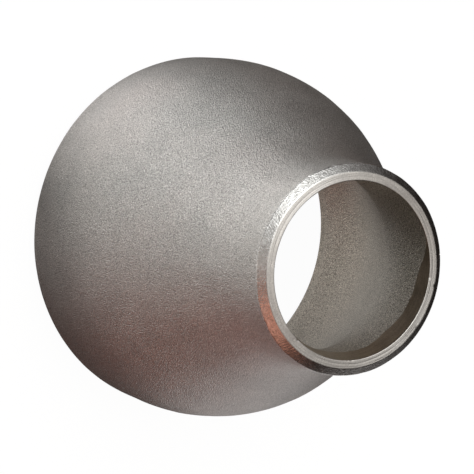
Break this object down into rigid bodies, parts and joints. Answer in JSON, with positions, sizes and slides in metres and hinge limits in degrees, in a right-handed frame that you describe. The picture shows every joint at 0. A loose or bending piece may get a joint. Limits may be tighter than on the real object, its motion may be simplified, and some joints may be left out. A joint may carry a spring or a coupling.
{
  "type": "concentric pipe reducer",
  "caption": "Seamless butt-weld concentric reducer: a hollow steel cone between a wide and a narrow bevelled weld end, open right through.",
  "frame": {"origin": "centre of the large end's weld face, which the fitting stands on", "axes": "+Z along the bore axis, from the large end to the small end; X and Y are free, because the fitting is round"},
  "size_m": [0.1142, 0.1142, 0.102],
  "materials": {
    "blasted_stainless": "sand-blasted and pickled stainless steel, matte, with bright machined weld bevels and root faces"
  },
  "bodies": {
    "root": {"reducer_body": "blasted_stainless"}
  },
  "joints": []
}
